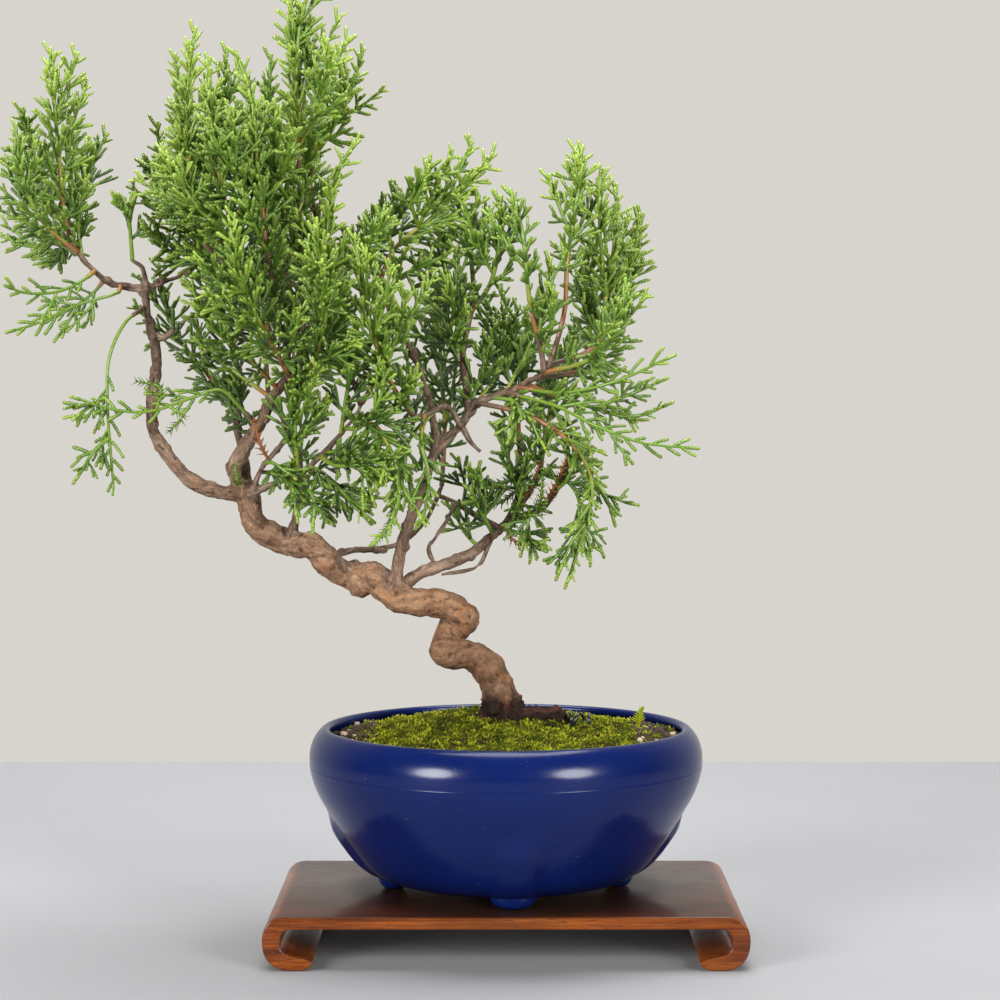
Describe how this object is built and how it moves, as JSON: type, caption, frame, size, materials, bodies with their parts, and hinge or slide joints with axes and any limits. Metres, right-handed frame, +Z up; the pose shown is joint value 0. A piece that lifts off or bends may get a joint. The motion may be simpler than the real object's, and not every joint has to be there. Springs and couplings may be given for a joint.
{
  "type": "juniper bonsai",
  "caption": "Small juniper bonsai with a winding trunk and cord-like foliage in a footed round pot with moss, on a low wooden stand with scrolled ends.",
  "frame": {"origin": "on the surface the stand rests on, under the middle of the whole plant, pot and stand", "axes": "+X to the right as the tree is shown, +Y away from the viewer, +Z up; the pot axis stands at x = 47.4 mm"},
  "size_m": [0.2542, 0.135, 0.3295],
  "materials": {
    "stand_wood": "reddish brown hardwood, satin lacquer",
    "pot_plastic": "moulded cobalt blue plastic, glossy with fine scratches",
    "net_plastic": "black plastic net",
    "soil": "dark granular soil with pale pumice bits",
    "moss": "yellow green moss cushion",
    "bark": "flaking brown bark",
    "foliage_dark": "dark green scale leaves",
    "foliage_mid": "mid green scale leaves",
    "foliage_bright": "yellow green scale leaves"
  },
  "bodies": {
    "root": {"spray_left_peak": "foliage_bright", "spray_left_inner_peak": "foliage_bright", "spray_left_outer_peak": "foliage_mid", "spray_left_back": "foliage_dark", "spray_left_droop": "foliage_mid", "spray_left_front_droop": "foliage_mid", "spray_left_fan": "foliage_mid", "spray_left_rear_droop": "foliage_dark", "spray_hanging_frond": "foliage_mid", "spray_long_thin_shoot": "foliage_bright", "spray_right_arm_rise": "foliage_mid", "spray_stub_rise": "foliage_mid", "spray_crown_left": "foliage_bright", "spray_crown_far_left": "foliage_mid", "spray_crown_left_back": "foliage_mid", "spray_crown_left_front": "foliage_mid", "spray_crown_mid_front": "foliage_mid", "spray_crown_mid": "foliage_dark", "spray_crown_peak": "foliage_bright", "spray_crown_right_peak": "foliage_bright", "spray_crown_right": "foliage_bright", "spray_front_left_lobe": "foliage_mid", "spray_front_mid_lobe": "foliage_mid", "spray_rear_left_lobe": "foliage_dark", "spray_rear_far_left_lobe": "foliage_dark", "spray_rear_mid_lobe": "foliage_dark", "spray_rear_right_lobe": "foliage_dark", "spray_mid_left_shoot": "foliage_mid", "spray_mid_left_back": "foliage_dark", "spray_low_front_shoot": "foliage_mid", "spray_low_front_rise": "foliage_mid", "spray_low_hanging_shoot": "foliage_bright", "spray_low_back_shoot": "foliage_dark", "spray_bright_rise": "foliage_bright", "spray_bright_hanging": "foliage_mid", "spray_slanting_shoot": "foliage_bright", "spray_slanting_back": "foliage_mid", "spray_slanting_front": "foliage_mid", "spray_centre_peak": "foliage_mid", "spray_centre_back": "foliage_dark", "spray_centre_front": "foliage_mid", "spray_right_inner_peak": "foliage_mid", "spray_right_peak": "foliage_bright", "spray_right_shoulder": "foliage_bright", "spray_right_outer": "foliage_mid", "spray_right_low_outer": "foliage_mid", "spray_right_reach": "foliage_bright", "spray_right_low_reach": "foliage_mid", "spray_right_tip": "foliage_mid", "spray_right_hanging": "foliage_bright", "spray_right_low_tip": "foliage_mid", "spray_back_rise": "foliage_dark", "spray_back_right_rise": "foliage_dark", "spray_back_centre_rise": "foliage_dark", "trunk": "bark", "soil": "soil", "moss": "moss", "drain_net": "net_plastic", "pot": "pot_plastic", "stand": "stand_wood"}
  },
  "joints": []
}
